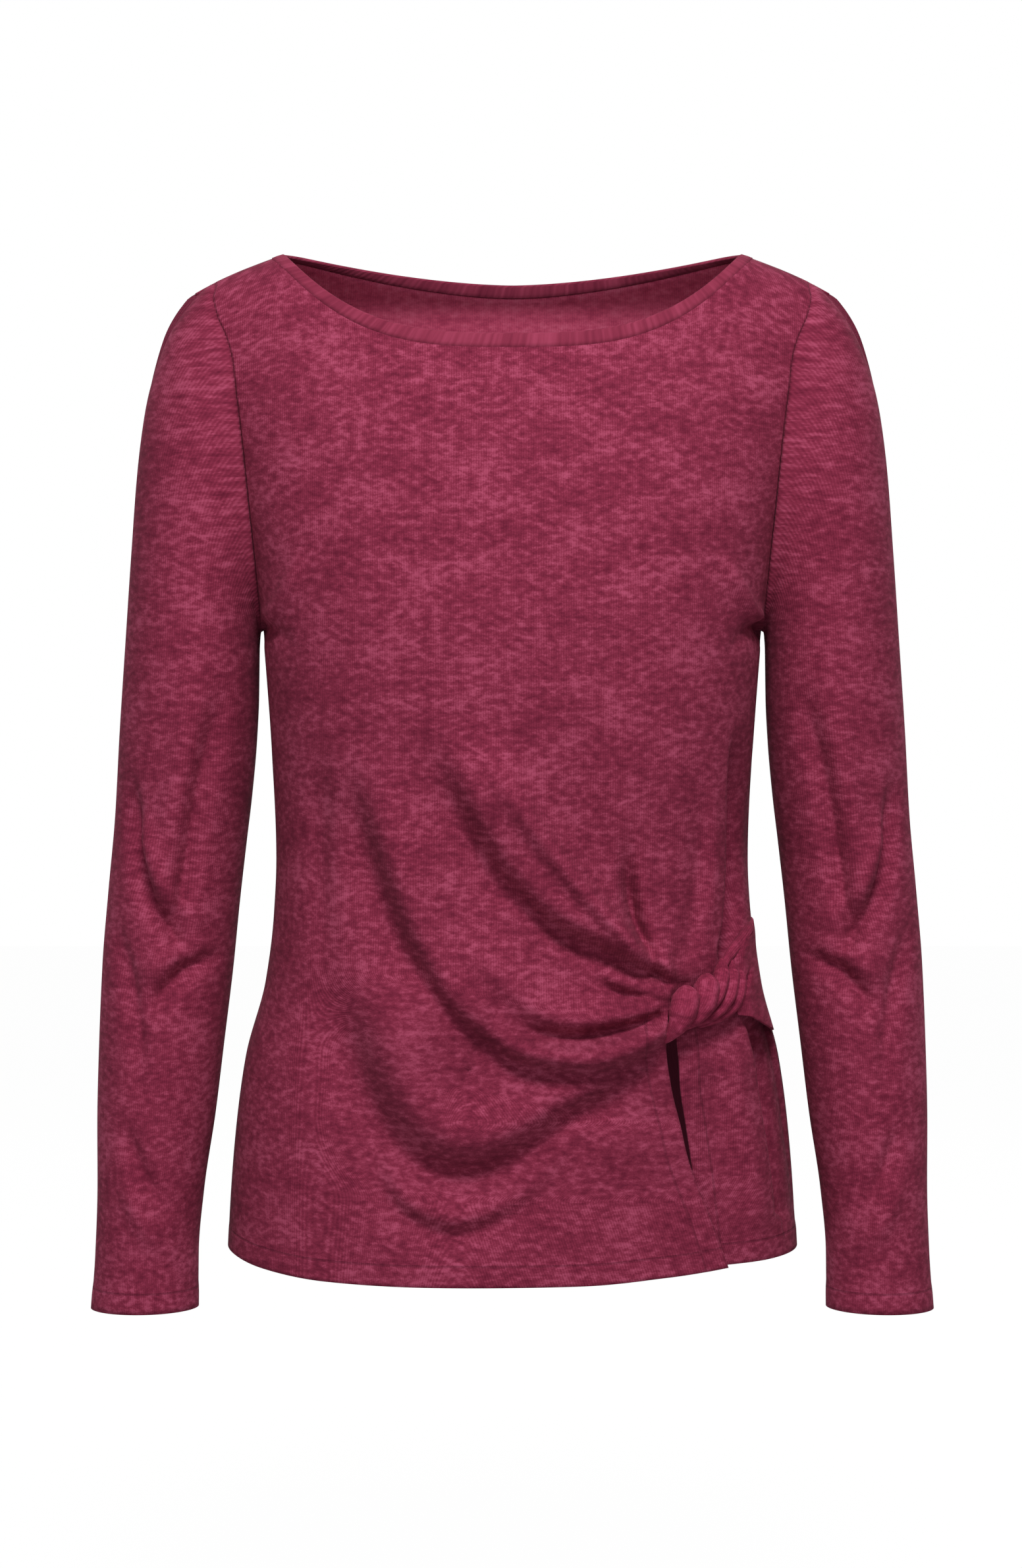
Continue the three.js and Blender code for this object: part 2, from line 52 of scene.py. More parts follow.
CLOTH = 1.1  # thickness of the jersey
BINDING_CLOTH = 2.0
NECK_HALF_WIDTH = 144
BINDING_HALF_WIDTH = 138
BINDING_STAND = {"front": 1.03, "back": 1.13}
ARMHOLE_DEPTH = 226
ARMHOLE_REACH = {"front": 51, "back": 52}
SLIT_TOP = 448
SIDE_HEM = 600
BACK_HEM = 604
HEM_TURN = 12  # height of the turned hems at the hem, slit and cuffs
HEM_STEP = 0.35  # how far the second layer of a turned hem lifts the cloth
SEAM_EASE = 7  # folds die out over this distance from a side seam
# where each piece lies in the dyed cloth, so that no two show the same streaks
CUT_FROM = {"back": 700, "sleeves": 1500, "binding": 3000, "tab": 3300, "knot": 3600}
FAR = 99  # stands for a hem, slit or seam that is nowhere near


def table(columns, *rows):
    """A short table: its columns by name."""
    return {name: np.array([row[i] for row in rows], float) for i, name in enumerate(columns.split())}


def curve(rows, at, value):
    """A smooth function through a table's rows, from one column to another, level past its ends."""
    x, y = rows[at], rows[value]
    rise = np.diff(y) / np.diff(x)
    before, after = np.append(rise[0], rise), np.append(rise, rise[-1])
    product, total = before * after, before + after
    slope = np.where(product > 0, 2 * product / np.where(total == 0, 1, total), 0)

    def evaluate(place):
        place = np.clip(place, x[0], x[-1])
        i = np.clip(np.searchsorted(x, place, side="right") - 1, 0, len(x) - 2)
        span = x[i + 1] - x[i]
        t = (place - x[i]) / span
        ease = t * t * (3 - 2 * t)
        bow = t * (1 - t) * span * ((1 - t) * slope[i] - t * slope[i + 1])
        return y[i] * (1 - ease) + y[i + 1] * ease + bow

    return evaluate


def mix(a, b, t):
    return a + (b - a) * t


def smooth(low, high, value):
    t = np.clip((value - low) / (high - low), 0, 1)
    return t * t * (3 - 2 * t)


# The body's level sections: drop below the neck points, half width, how far the front and the back
# reach from the side seams, and how square the section is.
BODY = table(
    "drop half_width front back square",
    (0, 219.5, 0, 0, 2.2),
    (5, 217.5, 24, 28.5, 2.2),
    (15, 212.5, 42.5, 50, 2.2),
    (30, 206, 59, 69, 2.2),
    (60, 196, 77, 85, 2.2),
    (90, 182.5, 94, 94, 2.3),
    (130, 169.5, 108, 104, 2.45),
    (180, 157.5, 119, 108, 2.6),
    (226, 150.5, 124.2, 105, 2.6),
    (260, 147.6, 124.5, 101, 2.55),
    (300, 145, 122, 96, 2.5),
    (365, 142.6, 115, 89, 2.4),
    (400, 144.2, 113, 88, 2.4),
    (440, 149.3, 114, 93, 2.4),
    (485, 161.3, 116, 102, 2.4),
    (525, 167, 118, 108, 2.4),
    (565, 170.5, 120, 113, 2.4),
    (610, 173, 122, 117, 2.4),
)
FRONT_HEM = table(
    "x drop",
    (-173, 600), (-150, 604.5), (-110, 608), (-50, 609), (40, 608), (90, 604.5), (124, 600.5),
)
SLIT = table(
    "drop main under",
    (226, 80, 80), (340, 84, 84), (448, 90, 90), (462, 88.5, 95.5), (493, 92.5, 98),
    (518, 98.4, 102.1), (534, 101.8, 104.6), (548, 106.4, 106.6), (570, 114.8, 109), (600, 124.5, 113),
)
SLEEVE = table(
    "along outer_x outer_z inner_x inner_z middle half_depth",
    (0, 189, -23.5, 150.5, -226, 2, 48),
    (12, 199.5, -33.5, 152.5, -229, 1, 52),
    (30, 209.9, -52, 153.2, -233, 0, 55),
    (60, 219.9, -88, 153.8, -240, 0, 56.5),
    (100, 225.9, -130, 154, -252, 0, 56.5),
    (150, 229.9, -180, 154.3, -270, 0, 56),
    (200, 233.9, -235, 155.8, -297, 1, 54.5),
    (250, 237.9, -290, 158.8, -328, 3, 53),
    (300, 240.9, -340, 162.5, -358, 4, 51.5),
    (350, 244.9, -385, 166.3, -392, 1, 50.5),
    (400, 248.4, -430, 170.2, -432, -3, 50),
    (450, 249.9, -475, 175.3, -476, -10, 48),
    (500, 250.7, -520, 180.5, -520, -16, 45.5),
    (550, 250.2, -565, 187, -565, -23, 41),
    (590, 251.2, -603, 190, -603, -29, 35),
    (622, 253.2, -635, 190, -634, -34, 31),
)
NECKLINE = {
    "front": {"cloth": 60, "binding": 52.8, "turn": 3.1},
    "back": {"cloth": 23, "binding": 16.5, "turn": 1.65},
}
FACING = {"front": -1, "back": 1}

half_width_at = curve(BODY, "drop", "half_width")
square_at = curve(BODY, "drop", "square")
front_hem_at = curve(FRONT_HEM, "x", "drop")
main_edge_at = curve(SLIT, "drop", "main")
under_edge_at = curve(SLIT, "drop", "under")
sleeve_at = {name: curve(SLEEVE, "along", name) for name in SLEEVE}
squared_reach = {
    side: curve({"drop": BODY["drop"], "squared": BODY[side] ** 2}, "drop", "squared") for side in FACING
}


def reach_at(side, drop):
    return np.sqrt(squared_reach[side](drop))


def shoulder_fall(x):
    past = np.abs(x) - 136
    return 0.2 * (past + np.hypot(past, 8)) + 0.0028 * np.maximum(0, np.abs(x) - 160) ** 2


def body_point(side, angle, drop):
    """Points of the body: the angle runs from -pi/2 at the right side seam to pi/2 at the left one."""
    power = 2 / square_at(drop)
    x = half_width_at(drop) * np.sign(angle) * np.abs(np.sin(angle)) ** power
    y = FACING[side] * reach_at(side, drop) * np.abs(np.cos(angle)) ** power
    z = -drop - shoulder_fall(x) * np.exp(-((drop / 75) ** 2))
    return np.stack(np.broadcast_arrays(x, y, z), -1)


def angle_at(x, drop):
    share = np.minimum(1, np.abs(x) / half_width_at(drop))
    return np.sign(x) * np.arcsin(share ** (square_at(drop) / 2))


def armhole_at(side, turn):
    turn = np.maximum(turn, 0.001)
    drop = ARMHOLE_DEPTH / 2 * (1 - np.cos(turn))
    share = np.abs(ARMHOLE_REACH[side] * np.sin(turn) / reach_at(side, drop))
    return np.arccos(np.minimum(share, 1) ** (square_at(drop) / 2)), drop


def neck_at(side, place, half_width, depth):
    x = half_width * np.sin(place * math.pi / 2)
    drop = depth * (1 - np.abs(x / half_width) ** NECKLINE[side]["turn"])
    return angle_at(x, drop), drop


NECK_SHARE = 0.75  # share of a panel's top edge that is neckline; the rest is shoulder seam


def top_edge(side, share):
    neck_angle, neck_drop = neck_at(
        side, np.clip(share / NECK_SHARE, -1, 1), NECK_HALF_WIDTH, NECKLINE[side]["cloth"]
    )
    out = np.clip((np.abs(share) - NECK_SHARE) / (1 - NECK_SHARE), 0, 1)
    tip = armhole_at(side, 0.0)[0]
    shoulder = np.sign(share) * mix(angle_at(NECK_HALF_WIDTH, 0.0), tip, out)
    on_neck = np.abs(share) <= NECK_SHARE
    return np.where(on_neck, neck_angle, shoulder), np.where(on_neck, neck_drop, 0)


def upper_grid(side, down, share, level):
    """Angles and drops between the top edge, the armholes and the level row at the underarm."""
    armhole_angle, armhole_drop = armhole_at(side, math.pi * down)
    tip = armhole_at(side, 0.0)[0]
    top_angle, top_drop = top_edge(side, share)
    angle = mix(top_angle, level, down) + share * (armhole_angle - mix(tip, math.pi / 2, down))
    drop = mix(top_drop, ARMHOLE_DEPTH, down) + share**2 * (armhole_drop - ARMHOLE_DEPTH * down)
    return angle, drop


class Fold:
    """A soft fold along a smooth path of points. Above and below are its widths on those sides, at its
    start and its end. A ridge (height over 0) or a trough has one rounded crest. A fold with an edge is
    a step: proud above its path and sunk below it, with the edge's width, at its start and end, between."""

    def __init__(self, height, above, below, path, fade=(0.25, 0.1), edge=None):
        points = np.array(path, float)
        padded = np.vstack([2 * points[0] - points[1], points, 2 * points[-1] - points[-2]])
        steps = np.linspace(0, 1, 9)[:-1, None]
        line = []
        for a, b, c, d in zip(padded, padded[1:], padded[2:], padded[3:]):
            bend = 2 * a - 5 * b + 4 * c - d + steps * (3 * (b - c) + d - a)
            line.append(b + 0.5 * steps * (c - a + steps * bend))
        self.line = np.vstack([*line, points[-1:]])
        self.height = height if isinstance(height, tuple) else (height, height)
        self.above, self.below, self.fade, self.edge = above, below, fade, edge

    def at(self, x, y):
        start, leg = self.line[:-1], np.diff(self.line, axis=0)
        length = np.hypot(leg[:, 0], leg[:, 1])
        run = np.append(0, np.cumsum(length))
        away = np.full(x.shape, 1e9)
        side = np.zeros(x.shape)
        along = np.zeros(x.shape)
        for (sx, sy), (lx, ly), size, done in zip(start, leg, length, run):
            t = np.clip(((x - sx) * lx + (y - sy) * ly) / size**2, 0, 1)
            dx, dy = x - sx - t * lx, y - sy - t * ly
            distance = np.hypot(dx, dy)
            nearer = distance < away
            away = np.where(nearer, distance, away)
            side = np.where(nearer, lx * (y - sy) - ly * (x - sx), side)
            along = np.where(nearer, (done + t * size) / run[-1], along)
        width = np.where(side < 0, mix(*self.above, along), mix(*self.below, along))
        ends = smooth(0, max(self.fade[0], 1e-6), along)
        height = mix(*self.height, along) * ends * (1 - 0.7 * smooth(1 - self.fade[1], 1, along))
        if self.edge is None:
            return height * np.exp(-((away / width) ** 2))
        step = np.tanh(away / mix(*self.edge, along)) * np.where(side < 0, 1, -1)
        return height * step * np.exp(-((away / width) ** 1.5))


# The front's draped folds, each along [x, drop] points from its free end towards the knot.
FRONT_FOLDS = [
    # the swag that hangs lowest, with its deep underside, and the broad soft bands below it
    Fold(
        (23, 4), (32, 15), (24, 10),
        [
            (-96, 285), (-91, 308), (-80, 350), (-69, 384), (-56, 413), (-36, 443), (-14, 463),
            (13, 475.5), (44, 480), (67, 477.5), (88, 465),
        ],
        (0.3, 0.05), (10, 2.5),
    ),
    Fold(
        (19, 13), (28, 13), (26, 10),
        [
            (-44, 276), (-35, 309), (-18, 344), (0, 371), (22, 393), (45, 406), (67, 417), (84, 426),
            (94, 429),
        ],
        (0.3, 0.05), (11, 3.5),
    ),
    Fold(
        (42, 15), (44, 14), (22, 13),
        [
            (-96, 418), (-90, 450), (-80, 488), (-63, 517), (-39, 532), (-14, 532), (9, 520), (31, 505),
            (51, 495), (69, 486),
        ],
        (0.25, 0.1), (30, 7),
    ),
    Fold(
        7.5, (16, 12), (16, 12),
        [(-84, 520), (-77, 537), (-64, 561), (-36, 573), (-11, 567), (9, 555), (25, 539), (36, 526)],
        (0.3, 0.4), (6, 5),
    ),
    # the crisp upper edge of the drape and the creases that fan out from the knot
    Fold(
        12, (7.5, 4), (10, 5),
        [(-20, 286), (13, 338), (40, 374), (67, 404), (86, 423), (94, 431)],
        (0.3, 0.05),
    ),
    Fold(
        (-8, -20), (4.5, 4), (6, 4.5),
        [(67, 335), (68, 358), (69.5, 380), (74, 402), (81, 418), (89, 430)],
        (0.5, 0.05),
    ),
    Fold(-3, (10, 8), (12, 8), [(32, 250), (42, 320), (58, 372), (72, 404)], (0.5, 0.2)),
    Fold(-3, (9, 6), (9, 6), [(118, 300), (110, 366), (104, 408), (98, 426)], (0.4, 0.1)),
    Fold(
        7, (10, 5), (8, 4.5),
        [(-20, 376), (9, 397), (27, 413), (49, 426), (71, 433), (90, 436)],
        (0.35, 0.05),
    ),
    Fold(-7, (9, 3.5), (10, 3.5), [(0, 384), (31, 411), (58, 435), (80, 442), (93, 442)], (0.35, 0.05)),
    Fold(
        9, (15, 5), (12, 5),
        [(-40, 394), (-13, 419), (13, 444), (36, 452.5), (62, 450), (85, 442), (93, 440)],
        (0.35, 0.05),
    ),
    Fold(
        -9, (8, 4), (6, 3.5),
        [(-10, 453), (9, 462), (36, 464), (58, 460), (78, 455), (90, 449)],
        (0.3, 0.05),
    ),
    Fold(
        12, (10, 7), (11, 6),
        [(-26, 456), (4, 469), (27, 473), (49, 473), (71, 466), (88, 456)],
        (0.35, 0.05),
    ),
    # soft vertical folds at the side of the body away from the knot
    Fold(-4, (8, 8), (9, 9), [(-112, 280), (-113, 361), (-109, 440)], (0.35, 0.5)),
    Fold(3, (12, 12), (10, 10), [(-101, 285), (-103, 390)], (0.35, 0.5)),
    # the cloth caught up under each arm
    Fold(4.5, (6, 5), (5, 4), [(-120, 176), (-132, 200), (-140, 214), (-147, 221)], (0.5, 0.05)),
    Fold(-7, (4, 4), (7, 7), [(-150, 225), (-141, 226), (-133, 231)], (0.0, 0.8)),
    Fold(4.5, (5, 4), (6, 5), [(120, 176), (132, 200), (140, 214), (147, 221)], (0.5, 0.05)),
    Fold(-7, (7, 7), (4, 4), [(150, 225), (141, 226), (133, 231)], (0.0, 0.8)),
    # between the knot and the side seam
    Fold(
        (-16, -30), (8, 6), (2.6, 2.8),
        [(131, 282), (131.5, 340), (131, 375), (129, 400), (124, 420)],
        (0.4, 0.05),
    ),
    Fold(4, (6, 6), (6, 6), [(117, 300), (117, 370), (113, 410)], (0.4, 0.2)),
    Fold(
        (-30, -24), (9, 9), (2.6, 3.2),
        [
            (133, 454), (140, 459), (144.5, 468), (149, 484), (151.5, 500), (154.5, 520), (158, 545),
            (160.5, 573),
        ],
        (0.18, 0.6),
    ),
    Fold(4, (9, 9), (8, 8), [(127, 466), (133, 500), (141, 540), (147, 590)], (0.2, 0.2)),
    Fold(-3, (9, 9), (8, 8), [(112, 470), (117, 510), (124, 560)], (0.3, 0.4)),
]
KNOT = {"x": 98, "drop": 452, "spread": 34, "lift": 9, "half_height": 24}
MAIN_EDGE_LIFT = 6  # the slit's upper edge stands proud near the hem
UNDER_EDGE_SINK = -3  # and its lower edge lies back


def front_relief(x, drop, main):
    """How far the front stands off the body's form at a place."""
    to_knot = np.hypot(x - KNOT["x"], drop - KNOT["drop"]) / KNOT["spread"]
    behind_knot = np.exp(-(((drop - KNOT["drop"]) / KNOT["half_height"]) ** 4))
    free = 1 - smooth(89, 97, x) * (1 - smooth(128, 140, x)) * behind_knot
    height = sum(fold.at(x, drop) for fold in FRONT_FOLDS) + KNOT["lift"] * np.exp(-(to_knot**2))
    edge = np.where(main, main_edge_at(drop) - x, x - under_edge_at(drop))
    near_slit = 1 - smooth(0, 45, np.maximum(edge, 0))
    opened = smooth(SLIT_TOP + 20, SIDE_HEM - 20, drop)
    return height * free + np.where(main, MAIN_EDGE_LIFT, UNDER_EDGE_SINK) * near_slit * opened


def normals_of(vertices, quads):
    a, b, c, d = (vertices[quads[:, i]] for i in range(4))
    face = np.cross(c - a, d - b)
    normal = np.zeros_like(vertices)
    for i in range(4):
        np.add.at(normal, quads[:, i], face)
    return normal / np.maximum(np.linalg.norm(normal, axis=1, keepdims=True), 1e-9)


def grid_quads(numbers, outward):
    """Quads over a grid of vertex numbers; outward is 1 where columns run anticlockwise seen from above."""
    corners = [numbers[:-1, :-1], numbers[1:, :-1], numbers[1:, 1:], numbers[:-1, 1:]]
    quads = np.stack(corners, -1).reshape(-1, 4)
    return quads if outward > 0 else quads[:, ::-1]


def marks_of(count, **own):
    """A piece's marks: distances to its hem, slit and seam, and its pull to the knot, by point."""
    far = np.full(count, FAR * MM)
    return {"to_hem": far, "to_slit": far, "to_seam": far, "pull": np.zeros(count), **own}


def cloth_mesh(name, vertices, quads, thickness, flat, marks):
    """A cloth wall as an object in metres, with its flat cloth coordinates and its marks stored on it."""
    mesh = bpy.data.meshes.new(name)
    mesh.from_pydata((vertices * MM).tolist(), [], quads.tolist())
    cloth = mesh.attributes.new("cloth", "FLOAT_VECTOR", "POINT")
    cloth.data.foreach_set("vector", (flat * MM).ravel())
    for mark, values in marks.items():
        stored = mesh.attributes.new(mark, "FLOAT", "POINT")
        stored.data.foreach_set("value", np.asarray(values, float).ravel())
    mesh.shade_smooth()
    piece = bpy.data.objects.new(name, mesh)
    bpy.context.scene.collection.objects.link(piece)
    if thickness:
        wall = piece.modifiers.new("cloth wall", "SOLIDIFY")
        wall.thickness = thickness * MM
        wall.offset = 0
        wall.use_quality_normals = True
        wall.material_offset = 1
    return piece


def turned_hem(distance):
    """The turned-up hem is two layers thick, with a step at its stitch line."""
    return HEM_STEP * (1 - smooth(HEM_TURN - 1.5, HEM_TURN + 1.5, distance))


def front_panel():
    columns, main_columns, upper_rows, lower_rows = 180, 117, 70, 160
    share = np.linspace(-1, 1, columns + 1)
    column = np.arange(columns + 1)

    def main_angle(drop):
        t = column[: main_columns + 1] / main_columns
        return mix(-math.pi / 2, angle_at(main_edge_at(drop), drop), t * (1.2 - 0.2 * t))

    def under_angle(drop):
        t = (column[main_columns:] - main_columns) / (columns - main_columns)
        return mix(angle_at(under_edge_at(drop), drop), math.pi / 2, t)

    level = np.append(main_angle(ARMHOLE_DEPTH), under_angle(ARMHOLE_DEPTH)[1:])
    angles, drops, on_main = [], [], []
    count = 0
    main_rows, under_rows = [], []
    for row in range(upper_rows):
        angle, drop = upper_grid("front", row / upper_rows, share, level)
        line = count + column
        count += len(column)
        angles.append(angle)
        drops.append(drop)
        on_main.append(np.ones(len(column), bool))
        main_rows.append(line[: main_columns + 1])
        under_rows.append(line[main_columns:])
    for row in range(lower_rows + 1):
        down = row / lower_rows
        level_drop = mix(ARMHOLE_DEPTH, SIDE_HEM, down)
        straight = body_point("front", main_angle(SIDE_HEM), SIDE_HEM)[:, 0]
        main_drop = mix(ARMHOLE_DEPTH, front_hem_at(straight), down)
        main = mix_rows(main_angle, main_drop)
        under = under_angle(level_drop)
        opened = level_drop > SLIT_TOP + 1
        if not opened:
            under = under[1:]
        line = count + np.arange(len(main) + len(under))
        count += len(line)
        angles += [main, under]
        drops += [main_drop, np.full(len(under), level_drop)]
        on_main += [np.ones(len(main), bool), np.zeros(len(under), bool)]
        main_rows.append(line[: len(main)])
        first = [] if opened else [line[len(main) - 1]]
        under_rows.append(np.append(first, line[len(main) :]).astype(int))
    angle, drop, main = (np.concatenate(values) for values in (angles, drops, on_main))
    quads = np.vstack([grid_quads(np.array(main_rows), 1), grid_quads(np.array(under_rows), 1)])
    form = body_point("front", angle, drop)
    normal = normals_of(form, quads)
    x = form[:, 0]
    hem_drop = np.where(main, front_hem_at(x), SIDE_HEM)
    to_hem = hem_drop - drop
    to_slit = np.where(main, main_edge_at(drop) - x, x - under_edge_at(drop))
    to_slit = np.where(drop > SLIT_TOP, to_slit, FAR)
    seam = side_seam_distance(angle, drop)
    height = front_relief(x, drop, main) * smooth(0, SEAM_EASE, seam)
    height = height + turned_hem(to_hem) + turned_hem(np.where(main, to_slit, FAR))
    rows = [np.unique(np.append(*pair)) for pair in zip(main_rows, under_rows)]
    flat = np.stack([round_body(form, rows), -drop, np.zeros_like(x)], -1)
    pull = np.clip(front_pull(x, drop) * main, 0, 1)
    marks = {"to_hem": to_hem * MM, "to_slit": to_slit * MM, "pull": pull, "to_seam": seam * MM}
    at_side = smooth(110, 142, x)[:, None]
    forward = normal * mix(0.3, 1, at_side) + np.array([0, -0.7, 0]) * (1 - at_side)
    forward /= np.linalg.norm(forward, axis=1, keepdims=True)
    return cloth_mesh("front_panel", form + forward * height[:, None], quads, CLOTH, flat, marks)


def round_body(form, rows):
    """Each point's distance round the body from the middle, along its row."""
    distance = np.zeros(len(form))
    for row in rows:
        step = np.linalg.norm(np.diff(form[row, :2], axis=0), axis=1)
        run = np.append(0, np.cumsum(step))
        middle = np.argmin(np.abs(form[row, 0]))
        distance[row] = run - run[middle] + form[row[middle], 0]
    return distance


def mix_rows(angle_of, drop):
    """Each column's angle at its own drop."""
    return np.array([angle_of(one)[i] for i, one in enumerate(drop)])


def side_seam_distance(angle, drop):
    return np.where(drop > ARMHOLE_DEPTH, (math.pi / 2 - np.abs(angle)) * half_width_at(drop) * 0.8, FAR)


def front_pull(x, drop):
    """How far the cloth is turned towards the knot: none on the chest, most on the roll."""
    below = smooth(440, 500, drop - 0.2 * x)
    return below * (1 - 0.5 * smooth(510, 560, drop)) * smooth(-130, -20, x)


def back_panel():
    columns, upper_rows, lower_rows = 110, 50, 75
    share = np.linspace(-1, 1, columns + 1)
    level = share * math.pi / 2
    rows = [upper_grid("back", row / upper_rows, share, level) for row in range(upper_rows)]
    for row in range(lower_rows + 1):
        bottom = mix(SIDE_HEM, BACK_HEM, np.cos(level))
        rows.append((level, mix(ARMHOLE_DEPTH, bottom, row / lower_rows)))
    angle = np.concatenate([row[0] for row in rows])
    drop = np.concatenate([np.broadcast_to(row[1], share.shape) for row in rows])
    numbers = np.arange(len(angle)).reshape(-1, columns + 1)
    quads = grid_quads(numbers, -1)
    form = body_point("back", angle, drop)
    normal = normals_of(form, quads)
    x = form[:, 0]
    to_hem = mix(SIDE_HEM, BACK_HEM, np.cos(angle)) - drop
    seam = side_seam_distance(angle, drop)
    height = sum(fold.at(x, drop) for fold in BACK_FOLDS) * smooth(0, SEAM_EASE, seam)
    height = height + turned_hem(to_hem)
    flat = np.stack([round_body(form, numbers) + CUT_FROM["back"], -drop, np.zeros_like(x)], -1)
    marks = marks_of(len(x), to_hem=to_hem * MM, to_seam=seam * MM)
    return cloth_mesh("back_panel", form + normal * height[:, None], quads, CLOTH, flat, marks)


BACK_FOLDS = [
    Fold(
        -8, (10, 9), (13, 10),
        [(-116, 322), (-66, 347), (-4, 356), (60, 349), (104, 334)],
        (0.3, 0.3),
    ),
    Fold(6, (12, 10), (12, 10), [(-92, 368), (-40, 381), (24, 384), (84, 371)], (0.3, 0.3)),
    Fold(-7, (9, 8), (12, 9), [(122, 394), (78, 409), (18, 418), (-42, 413)], (0.3, 0.4)),
    Fold(4.5, (13, 12), (13, 12), [(-74, 446), (-62, 520), (-66, 588)], (0.4, 0.1)),
    Fold(-4.5, (13, 12), (13, 12), [(16, 458), (28, 525), (25, 592)], (0.4, 0.1)),
    Fold(4, (12, 12), (13, 12), [(82, 436), (93, 515), (90, 590)], (0.4, 0.1)),
    Fold(-6, (9, 9), (10, 9), [(-132, 186), (-96, 230), (-46, 262)], (0.1, 0.6)),
    Fold(-5, (9, 9), (10, 9), [(130, 192), (94, 242), (50, 268)], (0.1, 0.6)),
]

# The sleeve's folds, along [turn round the arm in degrees, distance down the sleeve]: 90 is its front.
TURN_MM = 0.72  # one degree of turn, in millimetres of sleeve
SLEEVE_FOLDS = [
    Fold(
        (-5, -9), (6, 5), (9, 7),
        [(128, 150), (118, 210), (109, 265), (104, 330), (100, 372), (112, 402)],
        (0.3, 0.2),
    ),
    Fold(4, (9, 7), (8, 7), [(104, 160), (94, 230), (86, 300), (84, 350)], (0.4, 0.3)),
    Fold(-9, (6, 5), (8, 6), [(44, 262), (52, 300), (66, 338), (88, 366), (112, 384)], (0.35, 0.2)),
    Fold(6, (8, 6), (7, 6), [(58, 284), (72, 318), (92, 346), (116, 362)], (0.35, 0.3)),
    Fold(-8, (6, 5), (8, 6), [(78, 436), (92, 414), (112, 398), (138, 390)], (0.4, 0.2)),
    Fold(5, (8, 6), (8, 6), [(70, 410), (92, 392), (118, 380)], (0.4, 0.3)),
    Fold(-5, (7, 6), (8, 7), [(34, 360), (56, 398), (72, 440), (78, 476)], (0.4, 0.4)),
    Fold(-5, (7, 6), (8, 7), [(60, 496), (82, 530), (112, 556)], (0.4, 0.3)),
    Fold(4, (8, 7), (8, 7), [(64, 534), (90, 566), (118, 584)], (0.4, 0.4)),
    Fold(-6, (8, 6), (9, 7), [(236, 290), (258, 340), (284, 372)], (0.4, 0.4)),
    Fold(4.5, (9, 8), (9, 8), [(240, 330), (262, 376), (290, 404)], (0.4, 0.4)),
    Fold(-5, (8, 8), (8, 8), [(300, 330), (276, 400), (250, 440)], (0.4, 0.4)),
    Fold(-4, (9, 8), (9, 8), [(250, 500), (276, 540), (300, 560)], (0.4, 0.4)),
]
for sleeve_fold in SLEEVE_FOLDS:
    sleeve_fold.line[:, 0] *= TURN_MM


def sleeve_oval(along, turn):
    out = (1 + np.cos(turn)) / 2
    x = mix(sleeve_at["inner_x"](along), sleeve_at["outer_x"](along), out)
    y = sleeve_at["middle"](along) - sleeve_at["half_depth"](along) * np.sin(turn)
    z = mix(sleeve_at["inner_z"](along), sleeve_at["outer_z"](along), out)
    return np.stack(np.broadcast_arrays(x, y, z), -1)


def sleeve(name, mirror):
    around, rows = 96, 200
    length = SLEEVE["along"][-1]
    t = np.linspace(0, 1, rows + 1)
    along = (length * t * (0.75 + 0.25 * t))[:, None]
    turn = (np.arange(around) * 2 * math.pi / around)[None, :]
    in_front = turn <= math.pi
    front_angle, front_drop = armhole_at("front", np.minimum(turn, math.pi))
    back_angle, back_drop = armhole_at("back", np.minimum(2 * math.pi - turn, math.pi))
    seam = np.where(
        in_front[..., None],
        body_point("front", front_angle, front_drop),
        body_point("back", back_angle, back_drop),
    )
    seam[..., 0] += mix(0.6, 0.2, (1 + np.cos(turn)) / 2)
    share = (1 - np.minimum(1, along / 70)) ** 2
    form = sleeve_oval(along, turn) + share[..., None] * (seam - sleeve_oval(0.0, turn))
    vertices = form.reshape(-1, 3)
    numbers = np.arange(len(vertices)).reshape(rows + 1, around)
    quads = grid_quads(np.hstack([numbers, numbers[:, :1]]), -1)
    normal = normals_of(vertices, quads)
    around_mm = np.degrees(turn) * TURN_MM + 0 * along
    down = along + 0 * turn
    height = sum(fold.at(around_mm, down) for fold in SLEEVE_FOLDS)
    to_hem = length - down
    seam_roll = 0.9 * np.exp(-(((along - 4) / 4) ** 2)) - 0.9 * np.exp(-((along / 1.6) ** 2))
    height = height + turned_hem(to_hem) + seam_roll
    vertices = vertices + normal * height.reshape(-1, 1)
    vertices[:, 0] *= mirror
    if mirror < 0:
        quads = quads[:, ::-1]
    flat = np.stack([(around_mm + CUT_FROM["sleeves"]) * mirror, form[..., 2], 0 * down], -1)
    marks = marks_of(down.size, to_hem=to_hem * MM, to_seam=(down + 1.2) * MM)
    return cloth_mesh(name, vertices, quads, CLOTH, flat.reshape(-1, 3), marks)


